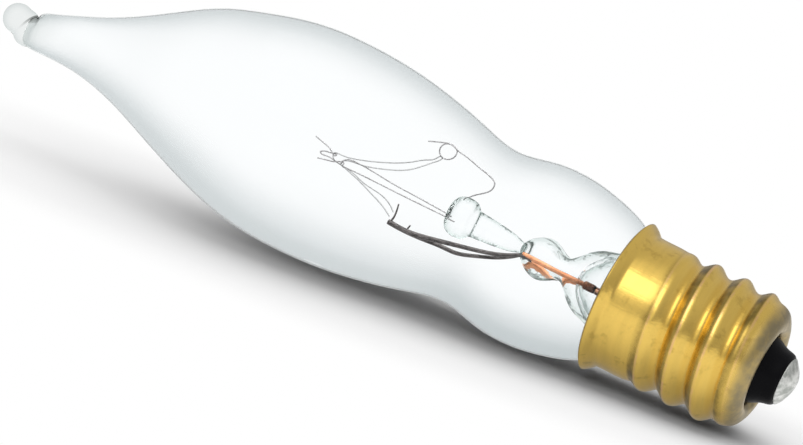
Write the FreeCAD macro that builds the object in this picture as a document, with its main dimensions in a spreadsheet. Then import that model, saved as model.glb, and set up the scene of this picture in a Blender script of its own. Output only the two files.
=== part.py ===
import FreeCAD, Part
import math
import os
import re
import Sketcher
from FreeCAD import Placement, Rotation, Vector

# Candle bulb with a bent tip and a small Edison screw base, millimetres.
# Every piece is drawn upright: z is the height above the contact end and the
# bulb's axis is x = y = 0. At the end all of them are laid down together as
# the bulb rests on a table, on its belly and on the lower bulge, bent tip down.

SIZES = {
    # Screw base, from the contact end up to the flared rim
    "rim_height": (16.0, "contact end to the rim of the brass shell"),
    "sheet": (0.3, "thickness of the brass sheet"),
    "lip_radius": (6.42, "outer radius of the flared rim"),
    "lip_height": (0.9, "height of the flare"),
    "skirt_radius": (5.68, "outer radius of the plain skirt"),
    "skirt_length": (3.4, "rim to the first turn of the thread"),
    "crest_radius": (5.86, "outer radius of the thread crests"),
    "valley_radius": (5.19, "outer radius of the thread valleys"),
    "pitch": (2.54, "pitch of the right-hand thread"),
    "thread_end": (3.6, "height where the thread has faded out"),
    "thread_turn": (12.0, "degrees, where the thread starts around the axis"),
    "run_in": (1.8, "height over which the thread fades in"),
    "run_out": (1.3, "height over which the thread fades out"),
    "shoulder_radius": (5.3, "radius of the shell below the thread"),
    "shell_hole": (3.1, "radius of the hole that the insulator fills"),
    "shell_floor": (2.55, "height of the turned-in end of the shell"),
    # Contact end
    "insulator_foot": (2.0, "radius of the black glass at the contact"),
    "insulator_flange": (4.55, "radius of the black glass inside the shell"),
    "insulator_top": (4.9, "height of the black glass inside the shell"),
    "contact_height": (0.9, "height where the black glass meets the contact"),
    "eyelet_radius": (1.45, "radius of the contact eyelet"),
    "eyelet_sheet": (0.25, "thickness of the contact eyelet"),
    "eyelet_bore": (0.4, "radius of the eyelet's hole"),
    "fit": (0.05, "clearance between pieces that seat in each other"),
    # Glass envelope, heights above the rim
    "glass_wall": (0.5, "wall of the envelope"),
    "neck_radius": (4.8, "outer radius of the neck inside the shell"),
    "neck_depth": (4.5, "length of neck below the rim"),
    "throat_radius": (6.2, "outer radius just above the rim"),
    "throat_height": (1.0, "height of that radius"),
    "bulge_radius": (7.52, "largest radius of the lower bulge"),
    "bulge_height": (7.0, "height of the lower bulge"),
    "waist_radius": (6.79, "smallest radius of the waist"),
    "waist_height": (12.6, "height of the waist"),
    "belly_radius": (9.24, "largest radius of the belly"),
    "belly_height": (28.0, "height of the belly"),
    "taper_radius": (6.82, "radius where the bent taper begins"),
    "taper_height": (40.0, "height where the bent taper begins"),
    "tip_radius": (1.6, "radius at the end of the taper"),
    "tip_height": (55.4, "height of the end of the taper"),
    "tip_rounding": (0.55, "rounding of the taper's end"),
    "tip_bend": (2.2, "sideways lean of the tip"),
    "bead_radius": (1.31, "radius of the sealed bead"),
    # Stem, arbor and button
    "flare_wall": (0.6, "wall of the flare"),
    "seal_length": (0.8, "length of the seal between flare and neck"),
    "press_height": (8.35, "top of the press above the rim"),
    "press_length": (5.35, "length of the press down to the flare"),
    "press_width": (5.3, "width of the press across the two leads"),
    "press_thickness": (3.5, "thickness of the press"),
    "pinch_thickness": (2.1, "thickness of the pinch below the press"),
    "arbor_foot": (0.42, "radius of the arbor at the press"),
    "arbor_top": (1.15, "radius of the arbor below the button"),
    "button_radius": (1.72, "radius of the button"),
    "button_length": (2.2, "length of the button"),
    "button_height": (15.6, "end face of the button above the rim"),
    # Wires
    "lead_radius": (0.19, "radius of the inner leads and the seal wires"),
    "tail_radius": (0.125, "radius of the outer leads"),
    "lead_spread": (3.3, "distance between the two leads in the press"),
    "lead_shift": (0.38, "offset of the leads from the axis in the press"),
    "weld_radius": (0.34, "radius of the weld bead on a seal wire"),
    "weld_length": (1.0, "length of the weld bead"),
    "weld_height": (1.4, "lower end of the weld bead above the rim"),
    "clamp_height": (19.0, "height of the filament clamps above the rim"),
    "clamp_drop": (2.9, "offset of the clamps from the axis"),
    "clamp_spread": (4.2, "distance between the clamps"),
    "clamp_radius": (0.28, "radius of a clamp"),
    "clamp_length": (1.7, "length of a clamp"),
    "stub_length": (1.5, "turned-up end of a lead beyond its clamp"),
    "support_radius": (0.06, "radius of the support wires"),
    "support_depth": (1.0, "length of a support wire inside the button"),
    "pigtail_radius": (0.6, "radius of a pigtail's turn"),
    "filament_radius": (0.06, "outer radius of the coiled filament"),
    "mount_turn": (12.0, "degrees, turn of the inner mount about the axis"),
}

doc = FreeCAD.newDocument("CandleBulb")
sheet = doc.addObject("Spreadsheet::Sheet", "Sizes")
for row, (alias, (value, note)) in enumerate(SIZES.items(), start=1):
    sheet.set("A%d" % row, alias)
    sheet.set("B%d" % row, str(value))
    sheet.setAlias("B%d" % row, alias)
    sheet.set("C%d" % row, note)
doc.recompute()


def size(alias):
    """The value of one driving dimension."""
    return float(sheet.get(alias))


def bound(text):
    """An expression on the driving dimensions, with the sheet's name added."""
    return re.sub(r"[a-z][a-z_]*", lambda word: "Sizes." + word.group()
                  if word.group() in SIZES else word.group(), text)


def value_of(text):
    """The present value of such an expression."""
    return float(sheet.evalExpression(bound(text)))


RIM = size("rim_height")
NODES = []
AXIAL = Vector(0, 0, 1)
UP = Vector(1, 0, 0)
AWAY = Vector(0, 1, 0)


def new_body(label, is_piece=True):
    body = doc.addObject("PartDesign::Body", label)
    body.Label = label
    if is_piece:
        NODES.append(body)
    return body


def new_feature(label, shape):
    piece = doc.addObject("Part::Feature", label)
    piece.Label = label
    piece.Shape = shape
    NODES.append(piece)
    return piece


def new_sketch(body, name, role, height=None):
    """A sketch on one of the body's origin planes, raised by an expression."""
    sketch = body.newObject("Sketcher::SketchObject", name)
    plane = [f for f in body.Origin.OriginFeatures if f.Role == role][0]
    sketch.AttachmentSupport = [(plane, "")]
    sketch.MapMode = "FlatFace"
    if height:
        sketch.setExpression("AttachmentOffset.Base.z", bound(height))
    return sketch


def outline(sketch, corners):
    """A closed outline through corners, each held by two bound distances."""
    points = [Vector(value_of(across), value_of(up), 0) for across, up in corners]
    count = len(points)
    for i in range(count):
        sketch.addGeometry(Part.LineSegment(points[i], points[(i + 1) % count]), False)
    for i in range(count):
        after = (i + 1) % count
        sketch.addConstraint(Sketcher.Constraint("Coincident", i, 2, after, 1))
    for i, (across, up) in enumerate(corners):
        for kind, text in (("DistanceX", across), ("DistanceY", up)):
            number = sketch.addConstraint(
                Sketcher.Constraint(kind, -1, 1, i, 1, value_of(text)))
            sketch.setExpression("Constraints[%d]" % number, bound(text))


def turned(body, name, corners, kind="Revolution"):
    """Turns a bound outline about the axis, to add or to remove material."""
    sketch = new_sketch(body, name + "_outline", "XZ_Plane")
    outline(sketch, corners)
    return spin(body, name, sketch, kind)


def spin(body, name, sketch, kind="Revolution"):
    feature = body.newObject("PartDesign::" + kind, name)
    feature.Profile = sketch
    feature.ReferenceAxis = (sketch, ["V_Axis"])
    feature.Angle = 360.0
    return feature


def smooth_outline(sketch, through, corners):
    """A closed outline: one smooth curve through points, then straight lines."""
    points = [Vector(across, up, 0) for across, up in through]
    curve = Part.BSplineCurve()
    curve.interpolate(points)
    sketch.addGeometry(curve, False)
    ends = [points[-1]] + [Vector(across, up, 0) for across, up in corners] + [points[0]]
    for start, end in zip(ends, ends[1:]):
        sketch.addGeometry(Part.LineSegment(start, end), False)


def circle_sketch(body, name, height, radius, across="0", along="0"):
    """A bound circle on the body's level plane, at a height."""
    sketch = new_sketch(body, name, "XY_Plane", height)
    centre = Vector(value_of(across), value_of(along), 0)
    sketch.addGeometry(Part.Circle(centre, Vector(0, 0, 1), value_of(radius)), False)
    bounds = [("Radius", (0,), radius), ("DistanceX", (-1, 1, 0, 3), across),
              ("DistanceY", (-1, 1, 0, 3), along)]
    for kind, which, text in bounds:
        number = sketch.addConstraint(Sketcher.Constraint(kind, *which, value_of(text)))
        sketch.setExpression("Constraints[%d]" % number, bound(text))
    return sketch


def oval_sketch(body, name, height, thick, wide):
    """An ellipse on the body's level plane, wide across the two leads."""
    sketch = new_sketch(body, name, "XY_Plane", height)
    sketch.addGeometry(Part.Ellipse(Vector(0, wide, 0), Vector(thick, 0, 0), Vector(0, 0, 0)), False)
    return sketch


def lofted(body, name, sketches, kind="AdditiveLoft"):
    feature = body.newObject("PartDesign::" + kind, name)
    feature.Profile = sketches[0]
    feature.Sections = sketches[1:]
    feature.Ruled = False
    return feature


def ball(body, name, radius, centre):
    feature = body.newObject("PartDesign::AdditiveSphere", name)
    feature.AttachmentSupport = [([f for f in body.Origin.OriginFeatures
                                   if f.Role == "XY_Plane"][0], "")]
    feature.MapMode = "FlatFace"
    feature.AttachmentOffset = Placement(centre, Rotation())
    feature.setExpression("Radius", bound(radius))
    return feature


def pocket(body, name, sketch, depth, upward):
    """Cuts a sketch's circle into the body, and checks that it cut."""
    before = body.Shape.Volume
    feature = body.newObject("PartDesign::Pocket", name)
    feature.Profile = sketch
    feature.Type = 0
    feature.Reversed = upward
    feature.setExpression("Length", bound(depth))
    doc.recompute()
    if body.Shape.Volume >= before:
        raise RuntimeError(name + " cuts nothing")
    return feature


# Brass shell: one thin sheet, its plain skirt flared at the rim, the thread
# rolled into it and its lower end turned in. Its skin is one closed surface
# that runs up the outside, over the rim, down the inside and round the hole.
AROUND = 16
ROWS_PER_PITCH = 6
THREAD_PHASE = 0.134
# A curve drawn toward control points lies inside them by this factor
RING_GAIN = 3 / (2 + math.cos(2 * math.pi / AROUND))


def fade(start, end, height):
    """0 below start, 1 above end, with a smooth passage."""
    part = min(1.0, max(0.0, (height - start) / (end - start)))
    return part * part * (3 - 2 * part)


def thread_wave(height, angle):
    """How far the rolled thread stands out of the sheet's mean radius."""
    depth = (size("crest_radius") - size("valley_radius")) / 2
    top = RIM - size("skirt_length")
    turns = (height - top) / size("pitch")
    turns -= (angle - math.radians(size("thread_turn"))) / (2 * math.pi)
    strength = fade(size("thread_end"), size("thread_end") + size("run_out"), height)
    strength *= 1 - fade(top - size("run_in"), top, height)
    return depth * math.cos(2 * math.pi * (turns + THREAD_PHASE)) * strength


def mean_radius(height):
    """Radius of the sheet without its thread."""
    top = RIM - size("skirt_length")
    low = size("thread_end")
    middle = (size("crest_radius") + size("valley_radius")) / 2
    radius = size("shoulder_radius")
    radius += (middle - radius) * fade(low, low + size("run_out"), height)
    return radius + (size("skirt_radius") - middle) * fade(top - size("run_in"), top, height)


def threaded_rows(inset):
    """Rings of control radii over the thread, from its lower end to the skirt."""
    low = size("thread_end")
    top = RIM - size("skirt_length")
    count = round((top - low) / size("pitch") * ROWS_PER_PITCH)
    gain = 3 / (2 + math.cos(2 * math.pi / ROWS_PER_PITCH))
    rows = []
    for row in range(count + 1):
        height = low + (top - low) * row / count
        rows.append((height, [mean_radius(height) - inset + gain * thread_wave(
            height, 2 * math.pi * i / AROUND) for i in range(AROUND)]))
    return rows


def plain_rows(points):
    return [(height, [radius] * AROUND) for radius, height in points]


def rolled_shell():
    sheet_wall = size("sheet")
    skirt = size("skirt_radius")
    lip = size("lip_radius")
    bend = RIM - size("lip_height")
    hole = size("shell_hole")
    floor = size("shell_floor")
    shoulder = size("shoulder_radius")
    low = size("thread_end")
    outside = [(skirt, RIM - 0.75 * size("skirt_length")), (skirt, bend - 0.7), (skirt - 0.03, bend - 0.1),
               (skirt + 0.12, bend + 0.25), (lip - 0.22, RIM - 0.35), (lip + 0.03, RIM - 0.15)]
    edge = [(lip + 0.05, RIM + 0.05), (lip - 0.1, RIM + 0.16)]
    inside = [(lip - 0.35, RIM), (skirt - sheet_wall + 0.2, bend + 0.42),
              (skirt - sheet_wall - 0.02, bend), (skirt - sheet_wall, bend - 0.7),
              (skirt - sheet_wall, RIM - 0.75 * size("skirt_length"))]
    deep = low - floor
    floor_in = [(shoulder - sheet_wall - 0.08, low - 0.05 * deep), (shoulder - 0.8, low - 0.3 * deep),
                (hole + 1.05, low - 0.6 * deep), (hole + 0.68, low - 0.64 * deep),
                (hole + 0.4, low - 0.4 * deep), (hole + 0.3, low - 0.05 * deep)]
    floor_out = [(hole - 0.02, low - 0.03 * deep), (hole - 0.02, low - 0.35 * deep),
                 (hole + 0.15, low - 0.72 * deep), (hole + 0.5, floor + 0.01),
                 (hole + 0.95, floor - 0.03), (shoulder - 0.72, floor + 0.3 * deep),
                 (shoulder - 0.26, floor + 0.62 * deep)]
    rows = threaded_rows(0.0) + plain_rows(outside + edge + inside)
    rows += list(reversed(threaded_rows(sheet_wall))) + plain_rows(floor_in + floor_out)
    net = []
    for i in range(AROUND):
        angle = 2 * math.pi * i / AROUND
        across = Vector(math.cos(angle), math.sin(angle), 0) * RING_GAIN
        net.append([across * radii[i] + Vector(0, 0, height) for height, radii in rows])
    surface = Part.BSplineSurface()
    surface.buildFromPolesMultsKnots(
        net, [1] * (AROUND + 1), [1] * (len(rows) + 1), [float(i) for i in range(AROUND + 1)],
        [float(i) for i in range(len(rows) + 1)], True, True, 3, 3)
    return Part.Solid(Part.Shell([surface.toShape()]))


base_shell = new_feature("base_shell", rolled_shell())

# Black glass insulator, moulded into the lower end of the shell
insulator = new_body("insulator")
turned(insulator, "insulator_glass", [
    ("eyelet_bore + fit", "contact_height"), ("insulator_foot", "contact_height"),
    ("shell_hole - 2 * fit", "thread_end - 0.3"), ("shell_hole - 2 * fit", "thread_end + 0.12"),
    ("shoulder_radius - 1.3", "thread_end + 0.25"), ("insulator_flange", "thread_end + 0.6"),
    ("insulator_flange", "insulator_top"), ("insulator_foot", "insulator_top"),
    ("eyelet_bore + fit", "insulator_top - 1.2")])
turned(insulator, "eyelet_seat", [
    ("0", "contact_height"), ("eyelet_radius", "contact_height"),
    ("eyelet_radius", "contact_height + eyelet_sheet"), ("0", "contact_height + eyelet_sheet")], "Groove")

# Contact eyelet, a brass washer set into the black glass
contact_eyelet = new_body("contact_eyelet")
turned(contact_eyelet, "eyelet_disc", [
    ("eyelet_bore", "contact_height"), ("eyelet_radius", "contact_height"),
    ("eyelet_radius", "contact_height + eyelet_sheet"), ("eyelet_bore", "contact_height + eyelet_sheet")])


# Glass envelope: neck, bulge, waist and belly are turned, the taper is lofted
# along its lean. Its rounded end carries the shoulder, neck and ball of the
# bead where the bulb was sealed.
LEVELS = ["throat", "bulge", "waist", "belly", "taper"]
BETWEEN = [[(0.383, 0.58)], [(0.589, 0.53)], [(0.182, 0.22), (0.481, 0.67), (0.74, 0.91)],
           [(0.333, 0.1), (0.667, 0.47)], []]


def envelope_curve(inset):
    """The envelope's outline from the neck to the taper, moved in by inset."""
    neck = size("neck_radius")
    throat = size("throat_radius")
    points = [(neck, -2.3), (neck + 0.05 * (throat - neck), -1.3),
              (neck + 0.28 * (throat - neck), -0.6), (neck + 0.58 * (throat - neck), 0.0)]
    for level, onward, shares in zip(LEVELS, LEVELS[1:] + LEVELS[-1:], BETWEEN):
        radius = size(level + "_radius")
        height = size(level + "_height")
        points.append((radius, height))
        points += [(radius + change * (size(onward + "_radius") - radius),
                    height + share * (size(onward + "_height") - height)) for share, change in shares]
    return [(radius - inset, RIM + height) for radius, height in points]


TAPER_STEPS = [0.0, 0.27, 0.54, 0.8, 1.0]
TAPER_POWER = 1.42
LEAN_POWER = 1.35


def taper_section(body, name, step, inset):
    """A ring of the leaning taper, a share of the way to the tip."""
    height = "rim_height + taper_height + %g * (tip_height - taper_height)" % step
    radius = "tip_radius + (taper_radius - tip_radius) * %g - %s" % ((1 - step) ** TAPER_POWER, inset)
    lean = "-tip_bend * %g" % step ** LEAN_POWER
    return circle_sketch(body, name, height, radius, lean)


envelope = new_body("glass_envelope")
neck_end = RIM - size("neck_depth")
taper_start = RIM + size("taper_height")
outer = new_sketch(envelope, "outer_outline", "XZ_Plane")
smooth_outline(outer, envelope_curve(0.0), [(0, taper_start), (0, neck_end), (size("neck_radius"), neck_end)])
spin(envelope, "outer_form", outer)
outer_taper = lofted(envelope, "outer_taper", [
    taper_section(envelope, "outer_ring_%d" % i, step, "0") for i, step in enumerate(TAPER_STEPS)])
doc.recompute()
taper_end = RIM + size("tip_height")
end_edges = ["Edge%d" % number for number, edge in enumerate(envelope.Shape.Edges, start=1)
             if edge.BoundBox.ZMin > taper_end - 0.001]
rounding = envelope.newObject("PartDesign::Fillet", "taper_end_rounding")
rounding.Base = (outer_taper, end_edges)
rounding.setExpression("Radius", "Sizes.tip_rounding")
bead_centre = Vector(-size("tip_bend") + 0.27, -0.21, taper_end + 1.67)
ball(envelope, "tip_shoulder", "0.95 * bead_radius", bead_centre + Vector(-0.73, 0.21, -1.17))
ball(envelope, "bead_neck", "0.88 * bead_radius", bead_centre + Vector(-0.02, 0.06, -0.77))
ball(envelope, "tip_bead", "bead_radius", bead_centre)
inner = new_sketch(envelope, "inner_outline", "XZ_Plane")
wall = size("glass_wall")
smooth_outline(inner, envelope_curve(wall), [
    (0, taper_start), (0, neck_end), (size("neck_radius") - wall, neck_end)])
spin(envelope, "inner_space", inner, "Groove")
lofted(envelope, "inner_taper", [
    taper_section(envelope, "inner_ring_%d" % i, step, inset) for i, (step, inset) in enumerate(
        [(0.0, "glass_wall"), (0.27, "glass_wall"), (0.54, "glass_wall"), (0.8, "glass_wall * 1.1"),
         (0.93, "glass_wall * 1.5"), (0.96, "glass_wall * 2.4")])], "SubtractiveLoft")

# Basing cement, the ring that holds the neck in the skirt
cement = new_body("basing_cement")
turned(cement, "cement_ring", [
    ("neck_radius + fit / 2", "rim_height - 3.9"), ("skirt_radius - sheet - fit", "rim_height - 3.4"),
    ("skirt_radius - sheet - fit", "rim_height - 2.4"), ("neck_radius + fit / 2", "rim_height - 2.4")])

# Stem: a glass tube flared at the bottom and pinched flat into the press that
# grips the seal wires
stem = new_body("stem_glass")
seat = size("neck_radius") - size("glass_wall")
seal_top = neck_end + size("seal_length")
press_top = RIM + size("press_height")
flare_top = press_top - size("press_length")
FLARE = [(1.0, 0.0), (0.9, 0.3), (0.8, 0.6), (0.715, 0.83), (0.586, 1.0)]
flare_curve = [(seat * share, seal_top + (flare_top - seal_top) * part) for share, part in FLARE]
flare = new_sketch(stem, "flare_outline", "XZ_Plane")
smooth_outline(flare, flare_curve, [(0, flare_top), (0, neck_end), (seat, neck_end)])
spin(stem, "flare", flare)
half_press = size("press_thickness") / 2
half_width = size("press_width") / 2
half_pinch = size("pinch_thickness") / 2
PRESS = [(1.0, flare_curve[-1][0], flare_curve[-1][0]), (0.87, 0.75 * half_press + 0.6, 0.94 * half_width),
         (0.68, half_pinch, 0.9 * half_width), (0.33, half_press, half_width),
         (0.075, 0.72 * half_press, 0.92 * half_width), (0.0, 0.45 * half_press, 0.8 * half_width)]
lofted(stem, "press", [
    oval_sketch(stem, "press_oval_%d" % place, "rim_height + press_height - %g * press_length" % down,
                thick, wide) for place, (down, thick, wide) in enumerate(PRESS)])
hollow = new_sketch(stem, "hollow_outline", "XZ_Plane")
flare_wall = size("flare_wall")
hollow_curve = [(radius - flare_wall, height) for radius, height in flare_curve[:-1]]
hollow_curve += [(0.29 * seat, flare_top + 0.15), (0.0, flare_top + 0.4)]
smooth_outline(hollow, hollow_curve, [(0, neck_end), (seat - flare_wall, neck_end)])
spin(stem, "flare_hollow", hollow, "Groove")
doc.recompute()
SIDES = (("a", "-"), ("b", ""))
for side, sign in SIDES:
    bore = circle_sketch(stem, "seal_bore_" + side, "rim_height", "lead_radius",
                         "-lead_shift", sign + "lead_spread / 2")
    pocket(stem, "seal_hole_" + side, bore, "press_height + 1", True)

# Arbor: the glass cane that stands on the press and ends in the button
arbor = new_body("arbor")
button_top = "rim_height + button_height"
turned(arbor, "cane_and_button", [
    ("0", "rim_height + press_height"), ("arbor_foot", "rim_height + press_height"),
    ("arbor_foot + 0.35", "rim_height + press_height + 1.7"),
    ("arbor_top", button_top + " - button_length - 0.2"),
    ("button_radius - 0.25", button_top + " - button_length"),
    ("button_radius", button_top + " - 0.75 * button_length"),
    ("button_radius", button_top + " - 0.4 * button_length"),
    ("button_radius - 0.55", button_top + " - 0.05"), ("button_radius - 0.85", button_top),
    ("0", button_top)])
doc.recompute()
SUPPORT_SHIFT = 0.3
SUPPORT_SPREAD = 0.8
for side, sign in SIDES:
    bore = circle_sketch(arbor, "support_bore_" + side, button_top + " - support_depth", "support_radius",
                         "-%g" % SUPPORT_SHIFT, sign + "%g" % SUPPORT_SPREAD)
    pocket(arbor, "support_hole_" + side, bore, "support_depth + 1", True)
upper_exit = size("button_height") - 0.6 * size("button_length")
bore = new_sketch(arbor, "upper_bore", "YZ_Plane")
bore.AttachmentOffset = Placement(Vector(0, 0, size("button_radius") - size("support_depth")), Rotation())
bore.addGeometry(Part.Circle(Vector(0, RIM + upper_exit, 0), Vector(0, 0, 1), size("support_radius")), False)
pocket(arbor, "upper_hole", bore, "support_depth + 1", True)


def rounded_path(points, tight=None):
    """Straight runs joined by tangent arcs, as large as the runs allow, or
    of the radius that tight gives for a point's place in the list."""
    corners = [Vector(*point) for point in points]
    edges = []
    start = corners[0]
    for place in range(1, len(corners) - 1):
        before, corner, after = corners[place - 1:place + 2]
        into = (corner - before).normalize()
        out = (after - corner).normalize()
        half_turn = into.getAngle(out) / 2
        if half_turn < 0.001:
            continue
        reach = 0.45 * min((corner - before).Length, (after - corner).Length)
        if tight and place in tight:
            reach = min(reach, tight[place] * math.tan(half_turn))
        first = corner - into * reach
        last = corner + out * reach
        inward = (out - into).normalize()
        radius = reach / math.tan(half_turn)
        middle = corner + inward * (radius / math.cos(half_turn) - radius)
        edges.append(Part.LineSegment(start, first).toShape())
        edges.append(Part.Arc(first, middle, last).toShape())
        start = last
    edges.append(Part.LineSegment(start, corners[-1]).toShape())
    return Part.Wire(edges)


def rod(points, radius, tight=None):
    """A round wire along a path."""
    path = rounded_path(points, tight)
    start = Vector(*points[0])
    section = Part.Wire([Part.Circle(start, Vector(*points[1]) - start, radius).toShape()])
    return path.makePipeShell([section], True, False)


def cylinder(start, end, radius):
    along = end - start
    return Part.makeCylinder(radius, along.Length, start, along)


# Seal wires through the press, each with the weld bead at its lower end
shift = size("lead_shift")
half_spread = size("lead_spread") / 2
lead_radius = size("lead_radius")
weld_low = RIM + size("weld_height")
SEAL_TOP = 0.35
for side, sign in (("a", -1), ("b", 1)):
    foot = Vector(-shift, sign * half_spread, weld_low)
    top = Vector(-shift, sign * half_spread, press_top - SEAL_TOP)
    bead = cylinder(foot, foot + Vector(0, 0, size("weld_length")), size("weld_radius"))
    bead = bead.makeFillet(0.45 * size("weld_radius"), bead.Edges)
    seal = cylinder(foot, top, lead_radius).fuse(bead)
    new_feature("dumet_seal_" + side, seal.removeSplitter())

# Inner leads, from the seal wires up to the clamps and on to the turned-up stub
drop = size("clamp_drop")
half_clamps = size("clamp_spread") / 2
clamp_top = RIM + size("clamp_height") + size("clamp_length") / 2
TOUCH = 0.01
STUB_BEND = 0.3
coil_ends = []
for side, sign, low, stub in (("a", -1, 0.0, 1.0), ("b", 1, 0.25, 0.45)):
    spread = sign * half_spread
    end = Vector(-drop - 0.4 * low, sign * half_clamps, clamp_top - low)
    start = end - Vector(0.0, 0.0, size("clamp_length"))
    corner = end - AXIAL * 0.15
    stub_end = end + UP * (stub * size("stub_length")) + AXIAL * 0.1
    climb = start.z - press_top
    route = [
        (-shift, spread, press_top - SEAL_TOP), (-shift, spread, press_top + 0.04 * climb),
        (-0.5 * drop - low, 1.03 * spread, press_top + 0.194 * climb),
        (-0.81 * drop - 1.6 * low, 1.1 * spread, press_top + 0.52 * climb),
        (-0.915 * drop - low, 1.18 * spread, press_top + 0.776 * climb),
        tuple(start), tuple(corner), tuple(stub_end)]
    wire = rod(route, lead_radius, {6: STUB_BEND})
    beside_stub = corner + (stub_end - corner).normalize() * (1.3 * STUB_BEND)
    coil_ends.append(beside_stub - AWAY * (sign * (lead_radius + size("filament_radius") + TOUCH)))
    clamp = cylinder(start, end - Vector(0, 0, 0.45), size("clamp_radius"))
    clamp = clamp.makeFillet(0.1, clamp.Edges)
    new_feature("lead_inner_" + side, wire.fuse(clamp).removeSplitter())

# Outer leads: one to the side of the shell, one down to the contact
tail = size("tail_radius")
SIDE_ANGLE = math.radians(142)
NOTCH_ANGLE = SIDE_ANGLE + math.radians(size("mount_turn"))
gap_radius = size("neck_radius") + tail + size("fit")
lip = size("lip_radius")


def beside(radius, height):
    """A point at the side lead's angle."""
    return (radius * math.cos(SIDE_ANGLE), radius * math.sin(SIDE_ANGLE), height)


side_route = [
    (-shift, half_spread, weld_low), (-shift, half_spread, weld_low - 1.2), (-1.2, 2.0, RIM - 2.2),
    beside(3.2, neck_end - 0.1), beside(gap_radius, neck_end - 0.75), beside(gap_radius, neck_end + 0.9),
    beside(gap_radius, RIM - 1.6), beside(size("skirt_radius") - size("sheet") - 0.23, RIM - 1.0),
    beside(lip - 0.88, RIM - 0.31), beside(lip - 0.49, RIM + 0.12), beside(lip - 0.25, RIM + 0.34),
    beside(lip + 0.35, RIM + 0.28)]
side_wire = new_feature("lead_outer_b", rod(side_route, tail))
centre_route = [
    (-shift, -half_spread, weld_low), (-shift, -half_spread, weld_low - 1.3), (0.1, -1.3, RIM - 3.6),
    (0.25, -0.5, RIM - 7.4), (0.0, 0.0, RIM - 10.6), (0.0, 0.0, 0.4 * size("contact_height"))]
new_feature("lead_outer_a", rod(centre_route, tail))

# Support wires: three thin wires out of the button, each with a pigtail turn
# that the filament runs through
support = size("support_radius")
turn = size("pigtail_radius")
button_end = RIM + size("button_height")
TURN_POINTS = 8


def pigtail(centre, out, along, rise, bearing, edge):
    """Points of one open turn, which starts on the out side and runs along.
    The middle of its edge with that number faces the bearing."""
    points = []
    step = TURN_SWEEP / TURN_POINTS
    for i in range(TURN_POINTS + 1):
        angle = math.radians(bearing + step * (i - edge - 0.5))
        points.append(centre + out * (turn * math.cos(angle)) + along * (turn * math.sin(angle))
                      + rise * (i / TURN_POINTS - 0.5))
    return points


TURN_SWEEP = 375
TURN_RISE = 0.34
EMBED_BEND = 0.3
seats = {}
for side, sign, lift, reach in (("a", -1, -0.55, 9.7), ("b", 1, 0.15, 11.1)):
    root = Vector(-SUPPORT_SHIFT, sign * SUPPORT_SPREAD, button_end)
    eye = Vector(lift, sign * 1.3, button_end + reach)
    loop = pigtail(eye, AWAY * sign, AXIAL, UP * TURN_RISE, 270, 5)
    tail_end = eye + AWAY * (sign * turn * 0.8) + AXIAL * (2.6 - 0.5 * sign) + UP * (0.5 * sign)
    route = [root - AXIAL * size("support_depth"), root + AXIAL * 0.3] + loop + [tail_end]
    new_feature("support_" + side, rod(route, support, {1: EMBED_BEND}))
    seats[side] = (loop[5] + loop[6]) / 2
exit_height = RIM + upper_exit
button_side = size("button_radius")
eye = Vector(4.1, 0, RIM + 18.0)
loop = pigtail(eye, UP, AXIAL, AWAY * TURN_RISE, 124, 2)
upper_route = [
    Vector(button_side - size("support_depth"), 0, exit_height), Vector(button_side + 0.3, 0, exit_height),
    Vector(2.85, 0, exit_height - 0.75), Vector(3.75, 0.0, exit_height - 0.95)] + loop + [
    eye + UP * 0.2 + AXIAL * 1.75 + AWAY * TURN_RISE / 2]
new_feature("support_top", rod(upper_route, support, {1: EMBED_BEND}))
seats["top"] = (loop[2] + loop[3]) / 2

# Filament: the outside of the fine coil, hung in four sagging spans from the
# first clamp over the three pigtails to the second clamp
SPAN_STEPS = 4
SAGS = (0.15, 0.55, 0.75, 0.2)
round_wire = support + size("filament_radius") + TOUCH
wire_centres = [seats["a"], seats["top"], seats["b"]]
stops = [coil_ends[0]] + wire_centres + [coil_ends[1]]
for _ in range(5):
    coil_path = [stops[0]]
    for start, end, sag in zip(stops, stops[1:], SAGS):
        for i in range(1, SPAN_STEPS + 1):
            part = i / SPAN_STEPS
            coil_path.append(start + (end - start) * part - UP * (4 * sag * part * (1 - part)))
    tight_places = {}
    for i, wire_centre in enumerate(wire_centres, start=1):
        place = SPAN_STEPS * i
        into = (coil_path[place] - coil_path[place - 1]).normalize()
        out = (coil_path[place + 1] - coil_path[place]).normalize()
        stops[i] = wire_centre + (into - out).normalize() * (round_wire / math.cos(into.getAngle(out) / 2))
        tight_places[place] = round_wire
new_feature("filament", rod(coil_path, size("filament_radius"), tight_places))

# Solder: the dome on the contact and the drop that ties the side lead to the rim
contact = new_body("solder_tip")
dome = new_sketch(contact, "dome_outline", "XZ_Plane")
reach = size("insulator_foot")
rise = size("contact_height")
dome_radius = (reach ** 2 + rise ** 2) / (2 * rise)
half_angle = math.asin(reach / dome_radius) / 2
dome.addGeometry(Part.Arc(
    Vector(reach, rise, 0),
    Vector(dome_radius * math.sin(half_angle), dome_radius * (1 - math.cos(half_angle)), 0),
    Vector(0, 0, 0)), False)
dome.addGeometry(Part.LineSegment(Vector(0, 0, 0), Vector(0, rise, 0)), False)
dome.addGeometry(Part.LineSegment(Vector(0, rise, 0), Vector(reach, rise, 0)), False)
spin(contact, "contact_dome", dome)
doc.recompute()
notch = circle_sketch(cement, "lead_notch", "rim_height - 4", "tail_radius + fit",
                      "(neck_radius + tail_radius + fit) * %g" % math.cos(NOTCH_ANGLE),
                      "(neck_radius + tail_radius + fit) * %g" % math.sin(NOTCH_ANGLE))
pocket(cement, "lead_groove", notch, "4", True)
bore = circle_sketch(contact, "lead_bore", "0.4 * contact_height", "tail_radius")
pocket(contact, "lead_hole", bore, "contact_height", True)


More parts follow.
